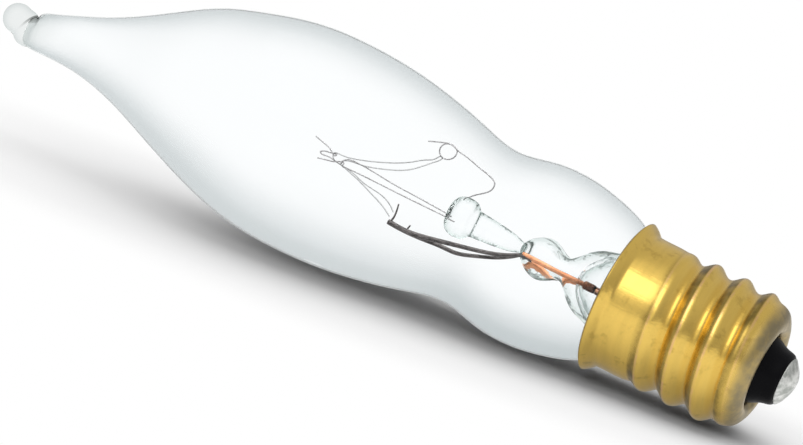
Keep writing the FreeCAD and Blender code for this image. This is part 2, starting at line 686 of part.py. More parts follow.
# The bulb lies with its belly and its lower bulge on the table
def resting_slope():
    """Slope of the line that touches both the belly and the lower bulge."""
    curve = Part.BSplineCurve()
    curve.interpolate([Vector(radius, height, 0) for radius, height in envelope_curve(0.0)])
    first, last = curve.FirstParameter, curve.LastParameter
    samples = [curve.value(first + (last - first) * i / 2000) for i in range(2001)]
    parting = RIM + size("waist_height")
    low = [point for point in samples if point.y < parting]
    high = [point for point in samples if point.y > parting]
    slope = 0.0
    for _ in range(6):
        bulge = max(low, key=lambda point: point.x - slope * point.y)
        belly = max(high, key=lambda point: point.x - slope * point.y)
        slope = (belly.x - bulge.x) / (belly.y - bulge.y)
    return slope


doc.recompute()
lean_angle = math.degrees(math.atan(resting_slope()))
laid_down = Rotation(Vector(0, 1, 0), lean_angle - 90)
turned_mount = Rotation(Vector(0, 0, 1), size("mount_turn"))
MOUNT = ["stem_glass", "arbor", "dumet_seal_a", "dumet_seal_b", "lead_inner_a", "lead_inner_b",
         "lead_outer_a", "lead_outer_b", "support_a", "support_b", "support_top", "filament"]


def overall_box(pieces, rotation):
    boxes = []
    for piece in pieces:
        shape = piece.Shape.copy()
        shape.Placement = Placement(Vector(0, 0, 0), rotation).multiply(shape.Placement)
        boxes.append(shape.optimalBoundingBox(False, False))
    return boxes


boxes = overall_box([envelope, contact, base_shell], laid_down)
offset = Vector(-(min(box.XMin for box in boxes) + max(box.XMax for box in boxes)) / 2, 0,
                -min(box.ZMin for box in boxes))
rest = Placement(offset, laid_down)
for node in NODES:
    turn_in = turned_mount if node.Label in MOUNT else Rotation()
    node.Placement = rest.multiply(Placement(Vector(0, 0, 0), turn_in))

# The solder drop over the end of the side lead is what is left of a ball
# beside the rim and the wire
rim_room = new_body("rim_room", False)
turned(rim_room, "room_for_rim", [
    ("skirt_radius - 0.4", "rim_height - 1.7"), ("skirt_radius + 0.05", "rim_height - 1.7"),
    ("skirt_radius + 0.05", "rim_height - lip_height - 0.05"),
    ("skirt_radius + 0.16", "rim_height - lip_height + 0.17"), ("lip_radius - 0.02", "rim_height - 0.22"),
    ("lip_radius + 0.06", "rim_height - 0.1"), ("lip_radius + 0.06", "rim_height + 0.06"),
    ("lip_radius - 0.04", "rim_height + 0.15"), ("lip_radius - 0.22", "rim_height + 0.13"),
    ("lip_radius - 0.47", "rim_height - 0.07"), ("skirt_radius - 0.4", "rim_height - 0.7")])
rim_room.Placement = rest
doc.recompute()
solder_ball = doc.addObject("Part::Sphere", "solder_ball")
solder_ball.setExpression("Radius", "Sizes.lip_height * 0.62")
at_rim = turned_mount.multVec(Vector(*beside(size("lip_radius") + 0.18, RIM + 0.12)))
seam_out = Rotation(Vector(0, 0, 1), math.degrees(NOTCH_ANGLE))
solder_ball.Placement = rest.multiply(Placement(at_rim, seam_out))
beside_shell = doc.addObject("Part::Cut", "solder_beside_shell")
beside_shell.Base = solder_ball
beside_shell.Tool = rim_room
side_solder = doc.addObject("Part::Cut", "side_solder")
side_solder.Label = "side_solder"
side_solder.Base = beside_shell
side_solder.Tool = side_wire
doc.recompute()
NODES.append(side_solder)

os.makedirs("parts", exist_ok=True)
for item in doc.Objects:
    if "Invalid" in item.State or "Error" in item.State:
        raise RuntimeError(item.Name + " failed: " + str(item.State))
for node in NODES:
    shape = node.Shape
    if shape.isNull() or not shape.isValid() or not shape.Solids:
        raise RuntimeError(node.Label + " has no valid solid")
    shape.exportStep(os.path.join("parts", node.Label + ".step"))
    print("%-16s solids %d volume %9.3f" % (node.Label, len(shape.Solids), shape.Volume))
print("lies %.3f degrees off level" % lean_angle)
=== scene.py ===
import math

import bpy
import bmesh
import numpy as np
from bpy.props import FloatProperty, FloatVectorProperty, PointerProperty
from mathutils import Matrix, Vector


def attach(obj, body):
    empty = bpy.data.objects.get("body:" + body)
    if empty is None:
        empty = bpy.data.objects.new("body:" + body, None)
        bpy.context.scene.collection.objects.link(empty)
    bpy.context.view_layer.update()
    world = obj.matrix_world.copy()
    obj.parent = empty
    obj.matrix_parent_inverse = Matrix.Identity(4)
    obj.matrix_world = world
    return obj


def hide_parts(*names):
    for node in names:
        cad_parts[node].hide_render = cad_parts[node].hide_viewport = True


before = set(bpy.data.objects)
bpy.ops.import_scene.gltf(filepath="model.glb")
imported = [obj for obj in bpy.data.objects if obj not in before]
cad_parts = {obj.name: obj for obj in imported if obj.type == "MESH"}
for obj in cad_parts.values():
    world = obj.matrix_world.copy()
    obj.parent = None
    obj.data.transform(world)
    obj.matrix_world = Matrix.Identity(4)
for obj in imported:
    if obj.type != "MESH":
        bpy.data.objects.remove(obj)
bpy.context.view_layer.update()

bl_info = {
    "name": "Candle bulb",
    "version": (1, 0, 0),
    "blender": (4, 5, 0),
    "location": "View3D > Sidebar > Bulb",
    "description": "Builds the glass, brass, wires and table of a candle bulb around its CAD solids",
    "category": "Object",
}

# The bulb's own frame is upright: millimetres, z from the contact end along
# the axis, +x towards the side that faces up when it lies on the table
LEAN = math.radians(4.9537)
CONTACT_END = Vector((0.0371319, 0.0, 0.0055377))
MM = 0.001
REST = (Matrix.Translation(CONTACT_END) @ Matrix.Rotation(LEAN - math.pi / 2, 4, "Y")
        @ Matrix.Scale(MM, 4))

# Height of the brass rim, and the turn of the glass mount about the axis
RIM = 16.0
MOUNT_TURN = math.radians(12)

BLACK = (0, 0, 0)
WHITE = (1, 1, 1)


# ---------------------------------------------------------------- settings

class BulbGlassSettings(bpy.types.PropertyGroup):
    """Wall and colours of the blown glass"""
    wall: FloatProperty(name="Wall", description="Thickness of the blown glass at the belly, in mm",
                        default=0.08, min=0.05)
    tint: FloatVectorProperty(name="Tint", description="Colour of the clear glass", subtype="COLOR",
                              size=3, min=0, max=1, default=(0.988, 0.997, 1.0))
    # The edge colour is partly the glass's tint and partly painted shade
    edge: FloatVectorProperty(name="Edge", description="Colour of the glass where it is seen edge on",
                              subtype="COLOR", size=3, min=0, max=1, default=(0.795, 0.822, 0.828))
    ripple: FloatProperty(name="Ripple", description="Depth of the waves left by blowing, in mm",
                          default=0.006, min=0)


class BulbBaseSettings(bpy.types.PropertyGroup):
    """Thread and colours of the screw base"""
    pitch: FloatProperty(name="Pitch", description="Pitch of the right-hand thread, in mm",
                         default=2.54, min=0.5)
    depth: FloatProperty(name="Depth", description="Half the depth of the rolled thread, in mm",
                         default=0.335)
    brass: FloatVectorProperty(name="Brass", description="Colour of the polished brass", subtype="COLOR",
                               size=3, min=0, max=1, default=(0.88, 0.6, 0.14))
    black: FloatVectorProperty(name="Black glass", description="Colour of the moulded insulator",
                               subtype="COLOR", size=3, min=0, max=1, default=(0.004, 0.004, 0.005))
    solder: FloatVectorProperty(name="Solder", description="Colour of the soft solder", subtype="COLOR",
                                size=3, min=0, max=1, default=(0.9, 0.9, 0.87))


class BulbFilamentSettings(bpy.types.PropertyGroup):
    """Sizes of the wound filament"""
    coil_radius: FloatProperty(name="Coil radius",
                               description="Radius of the coil to the wire's middle, in mm",
                               default=0.045, min=0.01)
    wire_radius: FloatProperty(name="Wire radius", description="Radius of the coiled wire, in mm",
                               default=0.015, min=0.002)
    coil_pitch: FloatProperty(name="Coil pitch", description="Distance between two turns, in mm",
                              default=0.062, min=0.01)


class BulbStageSettings(bpy.types.PropertyGroup):
    """Lens, lamps and table"""
    focal_length: FloatProperty(name="Focal length", description="Camera lens, in mm", default=156.91, min=10)
    softbox: FloatProperty(name="Softbox", description="Power of the large lamp over the bulb, in watts",
                           default=1.0, min=0)
    ambient: FloatProperty(name="Ambient", description="Strength of the light from all sides",
                           default=0.4, min=0)
    floor: FloatVectorProperty(name="Floor", description="Colour of the table", subtype="COLOR", size=3,
                               min=0, max=1, default=(0.93, 0.93, 0.93))


# ------------------------------------------------------------ shader maths

def add_node(tree, kind, settings, values):
    """Adds a node: its settings first, then the values or links of its sockets."""
    made = tree.nodes.new(kind)
    for key, value in (settings or {}).items():
        setattr(made, key, value)
    for key, value in values.items() if isinstance(values, dict) else enumerate(values or ()):
        link = value.link if isinstance(value, Socket) else value
        if isinstance(link, bpy.types.NodeSocket):
            tree.links.new(link, made.inputs[key])
        else:
            made.inputs[key].default_value = value
    return made


class Socket:
    """One output of a shader's node, with arithmetic that adds Math nodes."""

    def __init__(self, shader, link):
        self.shader = shader
        self.link = link

    def _math(self, operation, *values):
        return self.shader.node("ShaderNodeMath", {"operation": operation}, values)

    def __add__(self, other):
        return self._math("ADD", self, other)

    __radd__ = __add__

    def __mul__(self, other):
        return self._math("MULTIPLY", self, other)

    __rmul__ = __mul__

    def __sub__(self, other):
        return self._math("SUBTRACT", self, other)

    def __rsub__(self, other):
        return self._math("SUBTRACT", other, self)

    def __truediv__(self, other):
        return self._math("DIVIDE", self, other)

    def __pow__(self, other):
        return self._math("POWER", self, other)

    def at_least(self, other):
        return self._math("MAXIMUM", self, other)

    def at_most(self, other):
        return self._math("MINIMUM", self, other)

    def above(self, low, high):
        """0 below low, 1 above high, smooth between."""
        settings = {"interpolation_type": "SMOOTHSTEP"}
        return self.shader.node("ShaderNodeMapRange", settings, {
            "Value": self, "From Min": low, "From Max": high})


class Shader:
    """The nodes of a material or a world, added by expressions."""

    def __init__(self, owner, output="ShaderNodeOutputMaterial"):
        owner.use_nodes = True
        self.owner = owner
        self.tree = owner.node_tree
        self.tree.nodes.clear()
        self.output = self.tree.nodes.new(output)

    def node(self, kind, settings=None, values=None, output=0):
        return Socket(self, add_node(self.tree, kind, settings, values).outputs[output])

    def bulb_place(self):
        """Place on the bulb in its own upright frame, in millimetres."""
        back = REST.inverted()
        return self.node("ShaderNodeMapping", {"vector_type": "POINT"}, {
            "Vector": self.node("ShaderNodeTexCoord", output="Object"), "Location": back.translation,
            "Rotation": back.to_3x3().normalized().to_euler(), "Scale": (1 / MM,) * 3})

    def stretched(self, place, scale):
        return self.node("ShaderNodeVectorMath", {"operation": "MULTIPLY"}, [place, scale])

    def along(self, place, way):
        """How far a place lies in a direction."""
        return self.node("ShaderNodeVectorMath", {"operation": "DOT_PRODUCT"}, [place, way], "Value")

    def noise(self, place, scale, detail=3.0, roughness=0.55, distortion=0.0):
        return self.node("ShaderNodeTexNoise", {}, {
            "Vector": place, "Scale": scale, "Detail": detail, "Roughness": roughness,
            "Distortion": distortion})

    def parts(self, place):
        split = self.node("ShaderNodeSeparateXYZ", {}, [place]).link.node
        return [Socket(self, part) for part in split.outputs]

    def slant(self):
        """0 where a surface faces the eye, 1 where it is seen edge on."""
        return self.node("ShaderNodeLayerWeight", {}, {"Blend": 0.5}, "Facing")

    def ray(self, kind):
        return self.node("ShaderNodeLightPath", output=kind)

    def mix(self, factor, first, second):
        """Mixes two colours."""
        return self.node("ShaderNodeMix", {"data_type": "RGBA"}, {
            0: factor, 6: rgba(first), 7: rgba(second)}, 2)

    def bump(self, height, distance):
        return self.node("ShaderNodeBump", {}, {"Height": height, "Distance": distance})

    def surface(self, **values):
        named = {key.replace("_", " "): value for key, value in values.items()}
        return self.node("ShaderNodeBsdfPrincipled", {}, named)

    def clear(self, color):
        """Lets light straight through in one plain colour."""
        return self.node("ShaderNodeBsdfTransparent", {}, {"Color": rgba(color)})

    def blend(self, factor, first, second):
        """Mixes two shaders."""
        return self.node("ShaderNodeMixShader", {}, [factor, first, second])

    def glass(self, color, bend, coat, normal, shade, line, drawn):
        """Finishes clear glass with thin drawn lines of painted shade. Lamps shine through it with a shade.
        """
        glass = self.surface(Base_Color=color, Roughness=0.0, Transmission_Weight=1.0, IOR=bend,
                             Coat_Weight=coat, Normal=normal)
        through = self.blend(shade, self.clear(BLACK), self.clear(WHITE))
        return self.finish(self.blend(self.ray("Is Shadow Ray"), self.blend(line, glass, drawn), through))

    def finish(self, shader):
        self.tree.links.new(shader.link, self.output.inputs["Surface"])
        return self.owner


def new_shader(name):
    return Shader(bpy.data.materials.new(name))


def rgba(color):
    return color if isinstance(color, Socket) else (*color[:3], 1.0)


# ------------------------------------------------------ metals and glasses

# Colours of burnt copper, of the stem's side and its drawn lines of painted shade, and of the
# envelope's painted shade low down, at its outline and in the crease, and of its greyer bead
SOOT = (0.035, 0.014, 0.01)
STEM_SIDE = (0.6, 0.7, 0.67)
STEM_SHADE_LINE = (0.3, 0.35, 0.33)
ENVELOPE_LOW_SHADE = (0.66, 0.7, 0.71)
ENVELOPE_OUTLINE_SHADE = (0.94, 0.95, 0.95)
BEAD_TINT_AND_SHADE = (0.58, 0.63, 0.61)
CREASE_SHADE = (0.1, 0.11, 0.1)


def metal(name, color, dark, rough, streak, grain, relief, burnt=None):
    """A metal with colour patches, drawn streaks and a fine grain, burnt dark at one end."""
    shader = new_shader(name)
    place = shader.bulb_place()
    lines = shader.noise(shader.stretched(place, streak), 1.0, 4.0)
    patches = shader.noise(place, grain)
    base = shader.mix((lines * 0.6 + patches * 0.4).above(0.35, 0.7), dark, color)
    if burnt:
        end = 1 - (shader.parts(place)[2] + patches * 0.8 - 0.4).above(*burnt)
        base = shader.mix(end * 0.95, base, SOOT)
    return shader.finish(shader.surface(
        Base_Color=base, Metallic=1.0, Roughness=(lines + patches + 1) * (rough * 0.5),
        Normal=shader.bump((lines + patches) * 0.5, relief * MM)))


def stem_glass(name, settings, line_scale):
    """Drawn glass, greenish edge on, with thin dark lines of painted shade along its folds where it is seen
    edge on.
    """
    shader = new_shader(name)
    place = shader.bulb_place()
    slant = shader.slant()
    waves = shader.noise(place, 0.9, 2.0)
    folds = shader.noise(shader.stretched(place, line_scale), 1.0, 3.0, 0.6, 0.5)
    cast = shader.mix(slant.above(0.1, 0.8), settings.tint, STEM_SIDE)
    # Painted shade: thin dark lines along the folds where the glass is seen edge on
    thin = folds.above(0.52, 0.545) * (1 - folds.above(0.555, 0.58)) * slant.above(0.25, 0.6)
    strokes = (folds - 0.02 + slant * 0.06).above(0.5, 0.56) * slant.above(0.45, 0.85)
    line = (thin * 0.75).at_least(strokes * 0.85)
    return shader.glass(cast, 1.14, 0.2, shader.bump(waves, 0.05 * MM), 0.8, line, shader.clear(STEM_SHADE_LINE))


def envelope_glass(settings):
    """The thin blown wall: white within, greyer to its sides, most of all low down. The grey is partly the
    glass's tint and partly painted shade; low down, at the outline, in the crease and at the bead's edges it
    is painted shade.
    """
    shader = new_shader("clear_glass")
    place = shader.bulb_place()
    up, across, height = shader.parts(place)
    slant = shader.slant()
    waves = shader.noise(shader.stretched(place, (0.16, 0.16, 0.05)), 1.0, 2.0)
    radius = (up * up + across * across + 0.01) ** 0.5
    # low marks the lower side, where the extra grey is painted shade
    low = (up / radius * -1.0).above(0.0, 0.6)
    bulge = 1 - height.above(24.0, 34.0)
    # Grey toward the sides: partly the glass's tint, partly painted shade
    sides = (slant + low * 0.17 + waves * 0.04 - 0.02).above(0.2, 0.75)
    cast = shader.mix(sides, settings.tint, settings.edge)
    # Painted shade on the lower side of the bulge
    cast = shader.mix(sides * low * bulge * 0.35, cast, ENVELOPE_LOW_SHADE)
    # The solid bead is greyer as thick glass, with painted shade toward its edges
    solid = height.above(RIM + 53.5, RIM + 56.5)
    cast = shader.mix(solid * (slant.above(0.4, 0.95) * 0.4 + 0.35), cast, BEAD_TINT_AND_SHADE)
    # Painted shade: a dark line in the crease below the bead
    from_bead = shader.node("ShaderNodeVectorMath", {"operation": "SUBTRACT"}, [place, BEAD])
    near = 1 - ((shader.along(from_bead, CREASE_WAY) - CREASE_AT) ** 2.0).above(0.002, 0.02)
    crease_shade = near * (shader.parts(from_bead)[0].above(-0.9, 1.0) * 0.8 + 0.1)
    # Painted shade: a faint line at the outline, where the wall is seen edge on
    line = slant.above(0.84, 0.95).at_least(crease_shade)
    drawn = shader.blend(crease_shade, shader.clear(ENVELOPE_OUTLINE_SHADE), shader.clear(CREASE_SHADE))
    # The taper's shadow is paler than that of the belly
    shade = 0.6 + height.above(RIM + 23, RIM + 41) * 0.39
    return shader.glass(cast, 1.07, 0.0, shader.bump(waves, settings.ripple * MM), shade, line, drawn)


# ------------------------------------------------------------ mesh helpers

def smooth_through(points, count, columns=2):
    """Points on the natural cubic curve through the given rows, evenly
    spaced by the distance that their first columns give."""
    rows = np.array(points, dtype=float)
    step = np.linalg.norm(np.diff(rows[:, :columns], axis=0), axis=1)
    place = np.concatenate([[0], np.cumsum(step)])
    size = len(rows)
    system = np.zeros((size, size))
    right = np.zeros_like(rows)
    system[0, 0] = system[-1, -1] = 1.0
    for i in range(1, size - 1):
        system[i, i - 1] = step[i - 1]
        system[i, i] = 2 * (step[i - 1] + step[i])
        system[i, i + 1] = step[i]
        right[i] = 6 * ((rows[i + 1] - rows[i]) / step[i] - (rows[i] - rows[i - 1]) / step[i - 1])
    bend = np.linalg.solve(system, right)
    at = np.linspace(0, place[-1], count)
    which = np.clip(np.searchsorted(place, at, side="right") - 1, 0, size - 2)
    width = step[which][:, None]
    before = (at - place[which])[:, None]
    after = width - before
    return ((bend[which] * after ** 3 + bend[which + 1] * before ** 3) / (6 * width)
            + (rows[which] / width - bend[which] * width / 6) * after
            + (rows[which + 1] / width - bend[which + 1] * width / 6) * before)


def spokes(count):
    """Directions around the axis, evenly spaced."""
    turns = [2 * math.pi * i / count for i in range(count)]
    return [Vector((math.cos(turn), math.sin(turn), 0)) for turn in turns]


def skin(rings, closed_ends=True, mesh=None):
    """Joins rings of equally many points into a mesh. The ends close in a
    point each, or else the last ring joins the first."""
    mesh = bmesh.new() if mesh is None else mesh
    made = [[mesh.verts.new(point) for point in ring] for ring in rings]
    pairs = list(zip(made, made[1:]))
    if not closed_ends:
        pairs.append((made[-1], made[0]))
    count = len(made[0])
    for lower, upper in pairs:
        for i in range(count):
            after = (i + 1) % count
            mesh.faces.new((lower[i], lower[after], upper[after], upper[i]))
    if closed_ends:
        for ring in (made[0][::-1], made[-1]):
            middle = mesh.verts.new(sum((vert.co for vert in ring), Vector()) / count)
            for i in range(count):
                mesh.faces.new((ring[i], ring[(i + 1) % count], middle))
    return mesh


def lathe(profile, segments=96, closed_ends=True):
    """Turns rows of radius and height about the axis."""
    ways = spokes(segments)
    return skin([[Vector((radius * way.x, radius * way.y, height)) for way in ways]
                 for radius, height in profile], closed_ends)


def scratch_object(data):
    """An object to run a node tree on, removed afterwards."""
    holder = bpy.data.objects.new("scratch", data)
    bpy.context.scene.collection.objects.link(holder)
    return holder


def add_piece(name, mesh, material, replaced, turn=0.0):
    """Makes a finished piece from a mesh in the bulb's upright frame."""
    bmesh.ops.remove_doubles(mesh, verts=mesh.verts, dist=1e-5)
    data = bpy.data.meshes.new(name)
    mesh.to_mesh(data)
    mesh.free()
    place_piece(name, data, material, replaced, turn)


def place_piece(name, data, material, replaced, turn=0.0):
    """Lays a mesh down as the bulb lies, turns its normals out and makes it a piece."""
    data.transform(REST @ Matrix.Rotation(turn, 4, "Z"))
    turned = bmesh.new()
    turned.from_mesh(data)
    bmesh.ops.recalc_face_normals(turned, faces=turned.faces)
    turned.to_mesh(data)
    turned.free()
    data.polygons.foreach_set("use_smooth", [True] * len(data.polygons))
    data.materials.clear()
    data.materials.append(material)
    piece = bpy.data.objects.new(name, data)
    bpy.context.scene.collection.objects.link(piece)
    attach(piece, "root")
    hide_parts(*replaced)


def wear(node, material):
    """Gives a CAD node's own mesh a material."""
    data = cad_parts[node].data
    data.materials.clear()
    data.materials.append(material)


# ---------------------------------------------------------- glass envelope

# Height above the rim, half width and sideways lean of the envelope
ENVELOPE = [
    (-2.3, 4.8, 0), (-1.3, 4.87, 0), (-0.6, 5.19, 0), (0, 5.61, 0), (1, 6.2, 0), (2, 6.6, 0), (3.4, 7.0, 0),
    (5, 7.33, 0), (7, 7.51, 0), (9, 7.39, 0), (11, 6.98, 0), (12.6, 6.79, 0), (14, 6.93, 0), (16, 7.45, 0),
    (18, 7.98, 0), (20, 8.42, 0), (22, 8.78, 0), (25, 9.12, 0), (28, 9.23, 0), (31, 9.12, 0), (34, 8.64, 0),
    (37, 7.83, 0), (40, 6.82, 0), (42, 5.97, -0.13), (44, 5.02, -0.36), (46, 4.1, -0.63), (48, 3.3, -0.93),
    (50, 2.66, -1.24), (52, 2.2, -1.58), (54, 1.83, -1.98), (55.4, 1.62, -2.24)]
ENVELOPE_ROWS = 160
ENVELOPE_SEGMENTS = 192

# The neck's lower end, and how the wall thickens down to it
NECK_END = -4.5
NECK_RADIUS = 4.8
NECK_LENGTH = 6.0
NECK_EXTRA = 2.0

# The sealed tip is three balls melted together, with the taper rounded into
# them. The hollow ends below them in a round of its own.
BEAD = Vector((-1.93, -0.21, RIM + 57.07))
BEAD_RADIUS = 1.31
SHOULDER = BEAD + Vector((-0.73, 0.21, -1.17))
NECK_BALL = BEAD + Vector((-0.02, 0.06, -0.77))
TIP_BALLS = ((SHOULDER, 0.95 * BEAD_RADIUS), (NECK_BALL, 0.88 * BEAD_RADIUS), (BEAD, BEAD_RADIUS))
TIP_START = 53.5
TIP_ROUNDING = 0.55
TAPER_SOFTNESS = 0.02
BALL_SOFTNESS = 0.03
THROAT_STEPS = 8
BEAD_STEPS = 14
HOLLOW_END = 56.0
HOLLOW_ROUNDING = 0.5

# Direction in which the crease below the bead faces, and its distance
CREASE_WAY = Vector((-0.42, 0.0, -0.907))
CREASE_AT = 0.98


def reach(start, way, centre, radius):
    """Distance from start along way to the far side of a ball, or 0."""
    to_centre = centre - start
    along = to_centre.dot(way)
    inside = radius ** 2 - (to_centre.length_squared - along ** 2)
    return max(0.0, along + math.sqrt(inside)) if inside > 0 else 0.0


def soft_max(values, softness):
    """The largest value, with a smooth passage between those that are close."""
    top = max(values)
    return top + softness * math.log(sum(math.exp((value - top) / softness) for value in values))


def tip_reach(start, way, softness, *others):
    """How far the melted balls of the tip reach from start along way."""
    return soft_max([*others, *(reach(start, way, ball, radius) for ball, radius in TIP_BALLS)], softness)


def envelope_rings():
    """Rings of the outside: the turned body, the taper and the bead."""
    level = spokes(ENVELOPE_SEGMENTS)
    rings = [[Vector((0, 0, RIM + NECK_END)) + way * NECK_RADIUS for way in level]]
    rows = smooth_through(ENVELOPE, ENVELOPE_ROWS)
    end = rows[-1][0]
    for height, radius, lean in rows:
        centre = Vector((lean, 0, RIM + height))
        rounding = height - (end - TIP_ROUNDING)
        if rounding > 0:
            radius -= TIP_ROUNDING - math.sqrt(max(0.0, TIP_ROUNDING ** 2 - rounding ** 2))
        if height < TIP_START:
            rings.append([centre + way * radius for way in level])
        else:
            rings.append([centre + way * tip_reach(centre, way, TAPER_SOFTNESS, radius) for way in level])
    taper_end = centre
    for step in range(1, THROAT_STEPS + 1):
        centre = taper_end.lerp(BEAD, step / THROAT_STEPS)
        rings.append([centre + way * tip_reach(centre, way, BALL_SOFTNESS) for way in level])
    for step in range(1, BEAD_STEPS):
        tilt = math.pi / 2 * step / BEAD_STEPS
        aims = [way * math.cos(tilt) + Vector((0, 0, math.sin(tilt))) for way in level]
        rings.append([BEAD + aim * tip_reach(BEAD, aim, BALL_SOFTNESS) for aim in aims])
    return rings


def hollow_rings(outside, wall):
    """Rings of the inside, a wall's thickness in from those of the outside."""
    rings = []
    for ring in outside:
        height = ring[0].z - RIM
        if height > HOLLOW_END:
            break
        centre = sum(ring, Vector()) / len(ring)
        thick = wall * (1 + NECK_EXTRA * max(0.0, 1 - (height - NECK_END) / NECK_LENGTH))
        closing = max(0.0, (height - HOLLOW_END + HOLLOW_ROUNDING) / HOLLOW_ROUNDING)
        narrowing = math.sqrt(max(0.0, 1 - closing ** 2))
        rings.append([centre + (point - centre) * max(0.01, 1 - thick / (point - centre).length) * narrowing
                      for point in ring])
    return rings


class BULB_OT_envelope(bpy.types.Operator):
    """Blows the clear flame-shaped glass with its bent taper and sealed bead"""
    bl_idname = "bulb.envelope"
    bl_label = "Glass envelope"

    def execute(self, context):
        glass = context.scene.bulb_glass
        outside = envelope_rings()
        mesh = skin(hollow_rings(outside, glass.wall)[::-1] + outside)
        add_piece("envelope_glass", mesh, envelope_glass(glass), ["glass_envelope"])
        return {"FINISHED"}


# ------------------------------------------------------- stem, arbor, wires

# Height, half thickness and half width from the flare up to the press
STEM = [
    (11.5, 4.28, 4.28), (12.3, 4.28, 4.28), (13.7, 3.87, 3.87), (15.9, 3.44, 3.44), (17.6, 3.07, 3.07),
    (19.0, 2.52, 2.52), (19.7, 1.91, 2.49), (20.7, 1.05, 2.39), (22.6, 1.75, 2.65), (23.5, 1.55, 2.6),
    (23.95, 1.26, 2.44), (24.25, 0.95, 2.2), (24.35, 0.6, 1.9)]
# Height and radius of the stem's hollow, and radius and height of the cane
STEM_HOLLOW = [
    (11.5, 3.68), (12.3, 3.66), (13.7, 3.25), (15.9, 2.82), (17.6, 2.3), (18.6, 1.5), (19.2, 0.7),
    (19.4, 0.05)]
CANE = [
    (0.5, 24.3), (0.44, 24.6), (0.62, 25.3), (0.8, 26.1), (0.98, 27.5), (1.1, 28.9), (1.2, 29.3),
    (1.5, 29.55), (1.68, 29.95), (1.72, 30.4), (1.66, 30.85), (1.4, 31.3), (0.9, 31.52), (0.4, 31.58),
    (0.02, 31.6)]
# How the drawn lines are stretched on each
STEM_LINES = (0.7, 0.7, 0.35)
CANE_LINES = (0.35, 0.35, 1.1)


class BULB_OT_stem(bpy.types.Operator):
    """Pinches the flared stem tube and stands the cane with its button on it"""
    bl_idname = "bulb.stem"
    bl_label = "Stem and arbor"

    def execute(self, context):
        glass = context.scene.bulb_glass
        ways = spokes(72)
        outside = [[Vector((thick * way.x, wide * way.y, height)) for way in ways]
                   for height, thick, wide in smooth_through(STEM, 120)]
        inside = [[Vector((radius * way.x, radius * way.y, height)) for way in ways]
                  for height, radius in smooth_through(STEM_HOLLOW, 60)]
        add_piece("stem_tube", skin(inside[::-1] + outside),
                  stem_glass("stem_glass", glass, STEM_LINES), ["stem_glass"], MOUNT_TURN)
        add_piece("arbor_cane", lathe(smooth_through(CANE, 90), 64),
                  stem_glass("cane_glass", glass, CANE_LINES), ["arbor"], MOUNT_TURN)
        return {"FINISHED"}


# Routes of the thin wires in the mount's own frame
ROUTES = {
    "support_a": [(-0.54, -0.45, 30.63), (-0.54, -0.48, 31.19), (-0.58, -0.62, 33.64), (-0.61, -0.79, 36.47),
        (-0.65, -1.01, 40.28), (-0.66, -1.05, 41.05), (-0.57, -1.1, 41.86), (-0.52, -1.14, 42.66),
        (-0.53, -1.17, 43.19), (-0.46, -1.18, 43.29), (-0.31, -1.19, 43.15), (-0.17, -1.22, 42.62),
        (-0.06, -1.25, 42.09), (-0.06, -1.26, 41.9), (-0.19, -1.27, 41.96), (-0.08, -1.29, 42.31),
        (0.11, -1.31, 42.6), (0.33, -1.35, 43.34), (0.51, -1.4, 44.16)],
    "support_b": [(-0.27, 0.45, 31.22), (-0.25, 0.5, 31.92), (-0.14, 0.73, 35.24), (-0.08, 0.86, 37.27),
        (0.12, 1.06, 40.18), (0.13, 1.12, 40.99), (0.05, 1.16, 41.6), (-0.18, 1.19, 41.93),
        (-0.37, 1.2, 42.07), (-0.54, 1.22, 42.04), (-0.56, 1.23, 41.88), (-0.4, 1.24, 41.85),
        (-0.37, 1.25, 42.04), (-0.61, 1.29, 42.62), (-0.79, 1.34, 43.33), (-0.97, 1.4, 44.15)],
    "support_top": [(1.15, 0, 30.9), (1.65, 0, 30.67), (2.56, 0.01, 29.68), (3.1, 0.02, 29.24),
        (3.63, 0.02, 29.27), (3.9, 0.02, 29.67), (4.21, 0.03, 30.99), (4.54, 0.04, 32.42), (4.7, 0.05, 33.36),
        (4.87, 0.05, 33.97), (4.75, 0.06, 34.44), (4.31, 0.06, 34.72), (3.85, 0.07, 34.58),
        (3.61, 0.07, 34.15), (3.7, 0.07, 33.67), (4.12, 0.08, 33.31), (4.61, 0.08, 33.34), (4.9, 0.08, 33.79),
        (4.81, 0.09, 34.48), (4.57, 0.09, 35.2), (4.29, 0.1, 35.9)],
    "lead_inner_a": [(-3, -2.1, 35.15), (-3.03, -2.04, 33.37), (-2.81, -1.98, 31.92), (-2.4, -1.91, 30.07),
        (-1.99, -1.85, 28.22), (-1.36, -1.76, 25.88), (-0.85, -1.71, 24.71), (-0.47, -1.67, 23.68),
        (-0.56, -1.65, 23.13)],
    "lead_inner_b": [(-3.06, 1.9, 35.07), (-3.06, 1.89, 34.64), (-2.97, 1.85, 32.97), (-2.84, 1.81, 31.33),
        (-2.78, 1.78, 30.08), (-2.28, 1.74, 28.44), (-1.58, 1.7, 26.7), (-0.92, 1.67, 25.57),
        (-0.47, 1.65, 24.97)],
    "clamp_end_a": [(-2.99, -2.1, 35.01), (-2.71, -2.1, 34.93), (-1.35, -2.1, 35.04)],
    "clamp_end_b": [(-3.14, 1.9, 34.64), (-2.9, 1.9, 34.65), (-2.44, 1.9, 34.55)]}

# Each wire's node and metal, and for each strand its route and its radius at
# the start and at the end
WIRES = (
    ("support_a", "support_wire", [("support_a", 0.055, 0.055)]),
    ("support_b", "support_wire", [("support_b", 0.055, 0.055)]),
    ("support_top", "support_wire", [("support_top", 0.055, 0.055)]),
    ("lead_inner_a", "nickel_wire", [("lead_inner_a", 0.23, 0.15), ("clamp_end_a", 0.09, 0.06)]),
    ("lead_inner_b", "nickel_wire", [("lead_inner_b", 0.21, 0.14), ("clamp_end_b", 0.09, 0.06)]))

